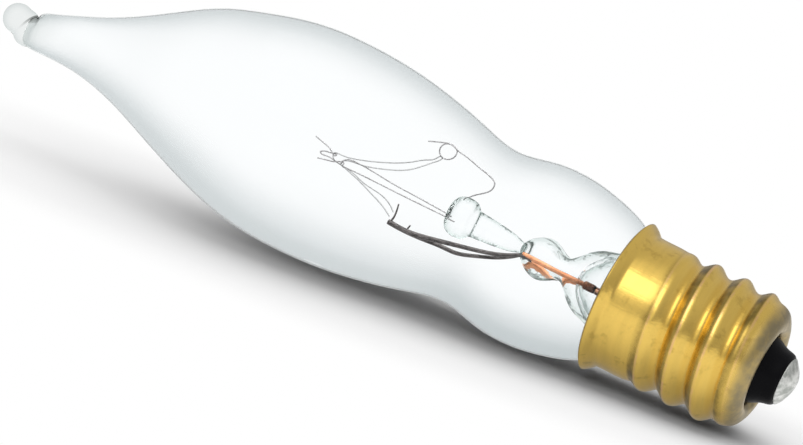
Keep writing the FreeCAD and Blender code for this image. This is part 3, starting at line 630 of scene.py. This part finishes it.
# Colour, colour in the streaks, roughness, stretch of the streaks, fineness
# of the grain, relief in mm, and the heights between which it is burnt
WIRE_METALS = {
    "seal_copper": ((0.78, 0.37, 0.2), (0.5, 0.2, 0.1), 0.3, (6, 6, 1.2), 2.5, 0.012,
                    (RIM + 1.6, RIM + 4.6)),
    "lead_copper": ((0.62, 0.33, 0.2), (0.38, 0.18, 0.1), 0.4, (6, 6, 1.2), 2.5, 0.01),
    "nickel_wire": ((0.17, 0.155, 0.15), (0.06, 0.055, 0.055), 0.38, (9, 9, 1.0), 3.0, 0.01),
    "support_wire": ((0.52, 0.51, 0.52), (0.25, 0.24, 0.24), 0.4, (9, 9, 2.0), 4.0, 0.004)}

# A direction that no wire follows, from which the rings' sides are reckoned
TUBE_SIDE = (0.3, 0.9, 0.2)


def tube(route, first, last, steps=12, sides=12):
    """Rings of a round wire along a smooth route."""
    line = [Vector(row) for row in smooth_through(route, steps * len(route), 3)]
    side = Vector(TUBE_SIDE)
    rings = []
    for i, point in enumerate(line):
        way = (line[min(i + 1, len(line) - 1)] - line[max(i - 1, 0)]).normalized()
        side = (side - way * side.dot(way)).normalized()
        other = way.cross(side)
        radius = first + (last - first) * i / (len(line) - 1)
        rings.append([point + (side * spoke.x + other * spoke.y) * radius for spoke in spokes(sides)])
    return rings


class BULB_OT_wires(bpy.types.Operator):
    """Bends the inner leads and supports and gives every wire its drawn metal"""
    bl_idname = "bulb.wires"
    bl_label = "Wires"

    def execute(self, context):
        metals = {name: metal(name, *look) for name, look in WIRE_METALS.items()}
        for node in ("dumet_seal_a", "dumet_seal_b"):
            wear(node, metals["seal_copper"])
        for node in ("lead_outer_a", "lead_outer_b"):
            wear(node, metals["lead_copper"])
        for node, finish, strands in WIRES:
            mesh = bmesh.new()
            for route, first, last in strands:
                skin(tube(ROUTES[route], first, last), mesh=mesh)
            add_piece(node + "_wire", mesh, metals[finish], [node], MOUNT_TURN)
        return {"FINISHED"}


# -------------------------------------------------------------- filament

# Points of the coil's middle in the mount's own frame: from the near clamp to
# its pigtail, over the top one and the far one, and on to the far clamp
COIL_LINE = [
    (-2.59, -1.9, 35.32), (-2.06, -1.81, 36.35), (-1.63, -1.7, 37.59), (-1.15, -1.58, 39.05),
    (-0.79, -1.46, 40.45), (-0.63, -1.41, 41.14), (-0.56, -1.36, 41.78), (-0.38, -1.33, 42.05),
    (-0.03, -1.3, 42.16), (0.08, -1.24, 41.77), (0.14, -1.14, 41.05), (0.4, -0.99, 40.07),
    (0.73, -0.84, 39.12), (1.38, -0.6, 37.6), (2.2, -0.35, 36.17), (2.83, -0.19, 35.29), (3.37, -0.06, 34.56),
    (3.66, 0, 34.29), (3.65, 0, 34.24), (2.96, 0.12, 34.68), (2.28, 0.27, 35.43), (1.7, 0.41, 36.13),
    (1.24, 0.54, 36.89), (0.59, 0.79, 38.58), (0.16, 1.03, 40.19), (0.06, 1.14, 40.96), (-0.09, 1.24, 41.7),
    (-0.32, 1.3, 42.04), (-0.56, 1.32, 42.02), (-0.7, 1.38, 41.41), (-1.04, 1.53, 39.9), (-1.23, 1.66, 38.56),
    (-1.3, 1.72, 38), (-1.48, 1.78, 37.38), (-1.76, 1.84, 36.82), (-2.14, 1.9, 36.37)]
POINTS_PER_STOP = 12
POINTS_PER_TURN = 9.0
# A direction that the coil's line never follows
COIL_SIDE = (0.36, 0.48, 0.8)


class Tree:
    """A Geometry Nodes tree, built by calls that return sockets."""

    def __init__(self, name):
        self.tree = bpy.data.node_groups.new(name, "GeometryNodeTree")
        self.tree.interface.new_socket("Geometry", in_out="INPUT", socket_type="NodeSocketGeometry")
        self.tree.interface.new_socket("Geometry", in_out="OUTPUT", socket_type="NodeSocketGeometry")
        self.given = self.tree.nodes.new("NodeGroupInput")
        self.result = self.tree.nodes.new("NodeGroupOutput")
        self.sizes = {}

    def size(self, name, value):
        """A named number that the modifier sets."""
        made = self.tree.interface.new_socket(name, in_out="INPUT", socket_type="NodeSocketFloat")
        self.sizes[made.identifier] = value
        return self.given.outputs[name]

    def node(self, kind, settings=None, values=None, output=0):
        return add_node(self.tree, kind, settings, values).outputs[output]

    def math(self, operation, *values):
        return self.node("ShaderNodeMath", {"operation": operation}, values)

    def vector(self, operation, *values):
        return self.node("ShaderNodeVectorMath", {"operation": operation}, values)

    def scaled(self, vector, factor):
        return self.node("ShaderNodeVectorMath", {"operation": "SCALE"}, {0: vector, "Scale": factor})

    def bake(self, last, data, material):
        """Ends the tree, runs it on a scratch object and returns the plain mesh."""
        self.tree.links.new(self.node("GeometryNodeSetMaterial", {}, {
            "Geometry": self.node("GeometryNodeRealizeInstances", {}, [last]), "Material": material}),
            self.result.inputs[0])
        holder = scratch_object(data)
        modifier = holder.modifiers.new("shape", "NODES")
        modifier.node_group = self.tree
        for identifier, value in self.sizes.items():
            modifier[identifier] = value
        bpy.context.view_layer.update()
        evaluated = holder.evaluated_get(bpy.context.evaluated_depsgraph_get())
        mesh = bpy.data.meshes.new_from_object(evaluated)
        holder.modifiers.remove(modifier)
        bpy.data.objects.remove(holder)
        return mesh


class BULB_OT_filament(bpy.types.Operator):
    """Winds the fine coil along its line over the three pigtails"""
    bl_idname = "bulb.filament"
    bl_label = "Filament"

    def execute(self, context):
        sizes = context.scene.bulb_filament
        curve = bpy.data.curves.new("coil_line", "CURVE")
        curve.dimensions = "3D"
        spline = curve.splines.new("POLY")
        line = smooth_through(COIL_LINE, POINTS_PER_STOP * len(COIL_LINE), 3)
        spline.points.add(len(line) - 1)
        for point, place in zip(spline.points, line):
            point.co = (*place, 1)
        tree = Tree("wound_coil")
        radius = tree.size("Coil Radius", sizes.coil_radius)
        wire = tree.size("Wire Radius", sizes.wire_radius)
        pitch = tree.size("Coil Pitch", sizes.coil_pitch)
        even = tree.node("GeometryNodeResampleCurve", {"mode": "LENGTH"}, {
            "Curve": tree.given.outputs[0], "Length": tree.math("DIVIDE", pitch, POINTS_PER_TURN)})
        along = tree.node("GeometryNodeSplineParameter", output="Length")
        turn = tree.math("MULTIPLY", tree.math("DIVIDE", along, pitch), 2 * math.pi)
        tangent = tree.node("GeometryNodeInputTangent")
        side = tree.vector("NORMALIZE", tree.vector("CROSS_PRODUCT", tangent, COIL_SIDE))
        other = tree.vector("CROSS_PRODUCT", tangent, side)
        offset = tree.vector(
            "ADD", tree.scaled(side, tree.math("COSINE", turn)), tree.scaled(other, tree.math("SINE", turn)))
        wound = tree.node("GeometryNodeSetPosition", {}, {
            "Geometry": even, "Offset": tree.scaled(offset, radius)})
        section = tree.node("GeometryNodeCurvePrimitiveCircle", {}, {"Resolution": 5, "Radius": wire})
        coil = tree.node("GeometryNodeCurveToMesh", {}, {
            "Curve": wound, "Profile Curve": section, "Fill Caps": True})
        material = metal("filament_wire", (0.5, 0.5, 0.5), (0.3, 0.3, 0.3), 0.5, (9, 9, 9), 6.0, 0.002)
        place_piece("filament_coil", tree.bake(coil, curve, material), material,
                    ["filament"], MOUNT_TURN)
        return {"FINISHED"}


# ------------------------------------------------------------ screw base

# Radius and height of the sheet's middle without its thread, from the rim to
# the hole for the black glass
SHELL_LINE = [
    (6.30, 15.98), (6.12, 15.72), (5.86, 15.42), (5.62, 15.14), (5.54, 14.7), (5.53, 14.0), (5.53, 12.9),
    (5.45, 11.8), (5.38, 10.6), (5.375, 9.0), (5.375, 7.0), (5.375, 5.4), (5.3, 4.5), (5.15, 3.8),
    (4.9, 3.25), (4.4, 2.9), (3.9, 2.75), (3.55, 2.83), (3.32, 3.03), (3.25, 3.22), (3.24, 3.38)]
SHEET_HALF = 0.15
DENT_HEIGHT = 0.08

# Heights between which the thread lies, and over what length it fades in and out
THREAD_START = 3.6
THREAD_END = 12.6
THREAD_RUN = 1.5
# One point of the crest: its part of a turn about the axis, and its height
CREST_TURN = 12 / 360
CREST_HEIGHT = 9.72

# Colours laid over the brass, in their order: brown spots, a painted glow in the grooves, painted shade on
# the flanks, a painted highlight on the crests, painted shade at the rim's edge, and grey at the lower end
BROWN_SPOT = (0.5, 0.33, 0.07)
GROOVE_GLOW = (0.72, 0.42, 0.06)
FLANK_SHADE = (0.16, 0.11, 0.03)
CREST_HIGHLIGHT = (0.86, 0.5, 0.3)
RIM_EDGE_SHADE = (0.2, 0.13, 0.04)
END_GREY = (0.3, 0.25, 0.15)


class BULB_OT_shell(bpy.types.Operator):
    """Spins the thin brass shell and rolls the thread into it"""
    bl_idname = "bulb.shell"
    bl_label = "Brass shell"

    def execute(self, context):
        base = context.scene.bulb_base
        data = bpy.data.meshes.new("shell")
        mesh = lathe(shell_profile(), 160, False)
        mesh.to_mesh(data)
        mesh.free()
        tree = Tree("rolled_thread")
        pitch = tree.size("Pitch", base.pitch)
        depth = tree.size("Depth", base.depth)
        low = tree.size("Thread Start", THREAD_START)
        top = tree.size("Thread End", THREAD_END)
        run = tree.size("Run Out", THREAD_RUN)
        phase = tree.size("Phase", thread_phase(base.pitch))
        place = tree.node("GeometryNodeInputPosition")
        across, along, height = tree.node("ShaderNodeSeparateXYZ", {}, [place]).node.outputs
        angle = tree.math("ARCTAN2", along, across)
        turns = tree.math("SUBTRACT", tree.math("DIVIDE", height, pitch),
                          tree.math("DIVIDE", angle, 2 * math.pi))
        wave = tree.math("COSINE", tree.math("MULTIPLY", tree.math("ADD", turns, phase), 2 * math.pi))
        ease = {"interpolation_type": "SMOOTHSTEP"}
        rise = tree.node("ShaderNodeMapRange", ease, {
            "Value": height, "From Min": low, "From Max": tree.math("ADD", low, run)})
        fall = tree.node("ShaderNodeMapRange", ease, {
            "Value": height, "From Min": tree.math("SUBTRACT", top, tree.math("MULTIPLY", run, 1.25)),
            "From Max": top, "To Min": 1.0, "To Max": 0.0})
        dents = tree.node("ShaderNodeTexNoise", {}, {"Vector": place, "Scale": 0.35, "Detail": 1.0})
        dent = tree.math("MULTIPLY", tree.math("SUBTRACT", dents, 0.5), DENT_HEIGHT)
        thread = tree.math("MULTIPLY", tree.math("MULTIPLY", wave, depth), tree.math("MULTIPLY", rise, fall))
        outwards = tree.vector("NORMALIZE", tree.vector("MULTIPLY", place, (1, 1, 0)))
        rolled = tree.node("GeometryNodeSetPosition", {}, {
            "Geometry": tree.given.outputs[0],
            "Offset": tree.scaled(outwards, tree.math("ADD", dent, thread))})
        material = brass_material(base)
        place_piece("brass_shell", tree.bake(rolled, data, material), material, ["base_shell"])
        return {"FINISHED"}


def thread_phase(pitch):
    """The part of a turn that puts a crest through its known point."""
    return CREST_TURN - CREST_HEIGHT / pitch


def shell_profile():
    """Radius and height round the section of the brass sheet."""
    line = smooth_through(SHELL_LINE, 230)
    ways = np.gradient(line, axis=0)
    ways /= np.linalg.norm(ways, axis=1)[:, None]
    out = np.column_stack([-ways[:, 1], ways[:, 0]]) * SHEET_HALF
    return np.vstack([line + out, (line - out)[::-1]])


def brass_material(base):
    """Polished brass with painted shade beside the crests, a painted highlight on them, a painted glow in the
    grooves and painted shade at the rim's edge; greyer at its lower end.
    """
    shader = new_shader("polished_brass")
    place = shader.bulb_place()
    up, across, height = shader.parts(place)
    rings = shader.noise(shader.stretched(place, (0.2, 0.2, 1.6)), 1.0)
    lines = shader.noise(shader.stretched(place, (3.5, 3.5, 0.35)), 1.0)
    spots = shader.noise(place, 0.9, 4.0, 0.6)
    # Masks that climb with the thread: wave is 1 on the crest, slope 1 on one flank
    angle = shader.node("ShaderNodeMath", {"operation": "ARCTAN2"}, [across, up])
    turn = (height / base.pitch - angle / (2 * math.pi) + thread_phase(base.pitch)) * (2 * math.pi)
    wave = shader.node("ShaderNodeMath", {"operation": "COSINE"}, [turn])
    slope = shader.node("ShaderNodeMath", {"operation": "SINE"}, [turn])
    threaded = height.above(3.4, 4.6) * (1 - height.above(11.6, 12.6))
    # A painted glow of light bounced in the thread's grooves
    groove = (1 - wave.above(-1.0, -0.35)) * threaded
    # Painted shade on one flank of the thread
    shaded_flank = slope.above(0.15, 0.6) * wave.above(-0.75, -0.2) * threaded
    shaded_flank = shaded_flank * (
        (up + across * 0.4).above(0.0, 3.5) * 0.35 + (1 - up.above(-4.6, -1.8)) * 0.3 + 0.65)
    # A painted pinkish highlight along the crests
    crest = slope.above(-0.25, 0.05) * (0.5 - slope).above(0.0, 0.3) * wave.above(0.75, 0.93) * threaded
    # Painted shade along the rim's edge
    edge = height.above(RIM - 0.2, RIM - 0.04)
    grey = (1 - height.above(3.0, 4.1)) * (spots.above(0.3, 0.6) * 0.25 + 0.72)
    color = shader.mix(rings.above(0.3, 0.7) * 0.6 + 0.4, [part * 0.86 for part in base.brass], base.brass)
    for mask, layer in (
            ((spots - 0.5).above(0.04, 0.2) * 0.5, BROWN_SPOT),
            (groove * 0.35, GROOVE_GLOW),
            (shaded_flank * (spots.above(0.3, 0.65) * 0.35 + 0.6), FLANK_SHADE),
            (crest * (spots.above(0.4, 0.6) * 0.4 + 0.1), CREST_HIGHLIGHT),
            (edge * 0.75, RIM_EDGE_SHADE),
            (grey, END_GREY)):
        color = shader.mix(mask, color, layer)
    rough = rings * 0.08 + lines * 0.08 + spots * 0.1 + 0.09 + grey * 0.2 + shaded_flank * 0.1
    bump = shader.bump(rings * 0.3 + lines * 0.3 + spots * 0.4, 0.035 * MM)
    return shader.finish(shader.surface(Base_Color=color, Metallic=1.0, Roughness=rough, Normal=bump))


# ---------------------------------------------------- insulator and contact

# Radius and height round the ring of black glass: its face, then its back
INSULATOR_FACE = [
    (0.5, 1.25), (1.2, 1.12), (1.8, 0.95), (2.02, 1.0), (2.33, 1.72), (2.66, 2.48), (2.95, 3.16), (2.99, 3.6)]
INSULATOR_BACK = [(3.05, 3.75), (4.0, 3.9), (4.5, 4.2), (4.5, 4.9), (2.0, 4.9), (0.5, 3.8)]
BLACK_SPECK = (0.015, 0.015, 0.017)

# How far the solder dome reaches from the axis, and its height
DOME_REACH = 2.0
DOME_RISE = 0.9
DOME_ROWS = 40
# The solder dome's back, where it sits in the black glass
DOME_BACK = [(1.92, 1.02), (1.6, 1.06), (0.6, 1.0)]
SOLDER_DARK = (0.42, 0.44, 0.41)

CEMENT_DARK = (0.45, 0.36, 0.26)
CEMENT_PALE = (0.7, 0.62, 0.5)


def black_glass(color):
    """Moulded black glass, nearly dull, with paler specks."""
    shader = new_shader("black_glass")
    place = shader.bulb_place()
    flow = shader.noise(place, 1.4)
    specks = shader.noise(place, 7.0, 2.0)
    return shader.finish(shader.surface(
        Base_Color=shader.mix(specks.above(0.62, 0.75) * 0.5, color, BLACK_SPECK),
        Roughness=flow * 0.2 + 0.25, Specular_IOR_Level=0.06, Normal=shader.bump(flow, 0.03 * MM)))


def baked_cement():
    """Dry, sandy cement."""
    shader = new_shader("baked_cement")
    sand = shader.noise(shader.bulb_place(), 4.0, 6.0, 0.7)
    return shader.finish(shader.surface(
        Base_Color=shader.mix(sand, CEMENT_DARK, CEMENT_PALE), Roughness=0.9,
        Normal=shader.bump(sand, 0.1 * MM)))


def dome_rows():
    """Radius and height of the solder dome, a cap of a ball with a flat back."""
    radius = (DOME_REACH ** 2 + DOME_RISE ** 2) / (2 * DOME_RISE)
    rows = [DOME_REACH * (i + 1) / DOME_ROWS for i in range(DOME_ROWS)]
    return [(across, radius - math.sqrt(radius ** 2 - across ** 2)) for across in rows] + DOME_BACK


class BULB_OT_contact(bpy.types.Operator):
    """Moulds the black glass, melts the solder, and finishes eyelet and cement"""
    bl_idname = "bulb.contact"
    bl_label = "Insulator and contact"

    def execute(self, context):
        base = context.scene.bulb_base
        profile = [*smooth_through(INSULATOR_FACE, 60), *INSULATOR_BACK]
        add_piece("black_glass_ring", lathe(profile, closed_ends=False),
                  black_glass(base.black), ["insulator"])
        solder = metal("soft_solder", base.solder, SOLDER_DARK, 0.42, (1.5, 1.5, 1.5), 2.6, 0.06)
        dome = lathe(dome_rows(), 72)
        lump(dome, 0.055, 1.3)
        add_piece("solder_dome", dome, solder, ["solder_tip"])
        wear("side_solder", solder)
        wear("contact_eyelet", brass_material(base))
        wear("basing_cement", baked_cement())
        return {"FINISHED"}


def lump(mesh, depth, scale):
    """Pushes a mesh in and out along its normals with slow waves."""
    mesh.normal_update()
    for vert in mesh.verts:
        place = vert.co * scale
        wave = math.sin(place.x * 2.1 + 0.6) * math.cos(place.y * 1.7 - 0.4) + 0.5 * math.sin(
            place.x * 4.3 - place.y * 3.1)
        vert.co += vert.normal * (depth * (wave - 0.6) * 0.6)


# ------------------------------------------------------------------ stage

CAMERA_PLACE = (0.08964846, -0.26602784, 0.05412355)
CAMERA_TURN = (79.70138, -18.45907, 21.50803)
SENSOR_WIDTH = 36
TABLE_SIZE = 2.5

# Place, aim, size and share of the softbox's power, and whether it shows in reflections
LAMPS = {
    "softbox_over": ((0.0, 0.045, 0.35), (0, 0, 0), (0.46, 0.36), 1.0, False),
    "softbox_front": ((-0.1, -0.42, 0.4), (0, 0, 0.01), (0.46, 0.38), 0.6, True)}

# Direction of the bright side of the studio that the brass mirrors
BRIGHT_SIDE = (-0.17, -0.71, 0.68)


def area_lamp(name, place, aim, size, power, reflected):
    lamp = bpy.data.lights.new(name, "AREA")
    lamp.shape = "RECTANGLE"
    lamp.size, lamp.size_y = size
    lamp.energy = power
    holder = bpy.data.objects.new(name, lamp)
    holder.location = place
    holder.rotation_euler = (Vector(aim) - Vector(place)).to_track_quat("-Z", "Y").to_euler()
    holder.visible_glossy = reflected
    bpy.context.scene.collection.objects.link(holder)


def through_glass(shader):
    """1 on a straight look through glass, else 0."""
    return shader.ray("Is Transmission Ray") * (1 - shader.ray("Diffuse Depth").at_most(1.0))


def table_material(color):
    """White paper that keeps the shadow, and stays white far off and through glass."""
    shader = new_shader("table_white")
    place = shader.node("ShaderNodeTexCoord", output="Object")
    fibre = shader.noise(place, 900.0)
    paper = shader.surface(
        Base_Color=shader.mix(fibre, [part * 0.985 for part in color], color), Roughness=0.9,
        Specular_IOR_Level=0.1, Normal=shader.bump(fibre, 0.02 * MM))
    # Far is reckoned on an oval that is long across the view
    oval = shader.stretched(place, (1.3, 3.6, 1))
    far = shader.node("ShaderNodeVectorMath", {"operation": "LENGTH"}, [oval], "Value").above(0.058, 0.09)
    mirrored = shader.ray("Is Glossy Ray") * 0.3
    white = shader.node("ShaderNodeEmission", {}, {"Color": rgba(WHITE), "Strength": 1.0})
    return shader.finish(shader.blend(
        far.at_least(through_glass(shader).at_least(mirrored)), paper, white))


def studio_world(scene, ambient):
    """A pale studio: white where it is seen, darker low down in reflections."""
    scene.world = bpy.data.worlds.new("studio")
    shader = Shader(scene.world, "ShaderNodeOutputWorld")
    way = shader.node("ShaderNodeTexCoord", output="Generated")
    height = shader.parts(way)[2]
    lobe = shader.along(way, BRIGHT_SIDE)
    reflected = height.above(-0.1, 0.5) * 0.25 + lobe.above(0.6, 0.95) * 0.4 + 0.35
    glossy = shader.ray("Is Glossy Ray")
    seen = shader.ray("Is Camera Ray").at_least(through_glass(shader))
    strength = seen + (1 - seen) * (glossy * reflected + (1 - glossy) * ambient)
    shader.finish(shader.node("ShaderNodeBackground", {}, {"Color": rgba(WHITE), "Strength": strength}))


class BULB_OT_stage(bpy.types.Operator):
    """Sets up the pale table, the soft lamps and the camera"""
    bl_idname = "bulb.stage"
    bl_label = "Table, lamps and camera"

    def execute(self, context):
        scene = context.scene
        stage = scene.bulb_stage
        mesh = bmesh.new()
        bmesh.ops.create_grid(mesh, x_segments=8, y_segments=8, size=TABLE_SIZE)
        data = bpy.data.meshes.new("table")
        mesh.to_mesh(data)
        mesh.free()
        data.materials.append(table_material(stage.floor))
        floor = bpy.data.objects.new("table", data)
        scene.collection.objects.link(floor)
        camera = bpy.data.cameras.new("camera")
        camera.lens = stage.focal_length
        camera.sensor_width = SENSOR_WIDTH
        camera.clip_start = 0.01
        holder = bpy.data.objects.new("camera", camera)
        holder.location = CAMERA_PLACE
        holder.rotation_euler = [math.radians(turn) for turn in CAMERA_TURN]
        scene.collection.objects.link(holder)
        scene.camera = holder
        scene.view_settings.view_transform = "Standard"
        scene.cycles.caustics_reflective = False
        scene.cycles.caustics_refractive = False
        for name, (place, aim, size, share, reflected) in LAMPS.items():
            area_lamp(name, place, aim, size, share * stage.softbox, reflected)
        studio_world(scene, stage.ambient)
        return {"FINISHED"}


# ------------------------------------------------------------------ add-on

class BULB_PT_panel(bpy.types.Panel):
    """Lists the bulb's settings and its pieces"""
    bl_label = "Candle bulb"
    bl_idname = "BULB_PT_panel"
    bl_space_type = "VIEW_3D"
    bl_region_type = "UI"
    bl_category = "Bulb"

    def draw(self, context):
        for group in GROUPS:
            settings = getattr(context.scene, group)
            for name in settings.__annotations__:
                self.layout.prop(settings, name)
        for operator in OPERATORS:
            self.layout.operator(operator.bl_idname)


GROUPS = {"bulb_glass": BulbGlassSettings, "bulb_base": BulbBaseSettings,
          "bulb_filament": BulbFilamentSettings, "bulb_stage": BulbStageSettings}
OPERATORS = (BULB_OT_stage, BULB_OT_shell, BULB_OT_contact, BULB_OT_stem, BULB_OT_wires,
             BULB_OT_filament, BULB_OT_envelope)


def register():
    for made in (*GROUPS.values(), *OPERATORS, BULB_PT_panel):
        bpy.utils.register_class(made)
    for name, group in GROUPS.items():
        setattr(bpy.types.Scene, name, PointerProperty(type=group))


def unregister():
    for name in GROUPS:
        delattr(bpy.types.Scene, name)
    for made in (BULB_PT_panel, *reversed(OPERATORS), *GROUPS.values()):
        bpy.utils.unregister_class(made)


def main():
    register()
    bpy.ops.bulb.stage()
    bpy.ops.bulb.shell()
    bpy.ops.bulb.contact()
    bpy.ops.bulb.stem()
    bpy.ops.bulb.wires()
    bpy.ops.bulb.filament()
    bpy.ops.bulb.envelope()


if __name__ == "__main__":
    main()
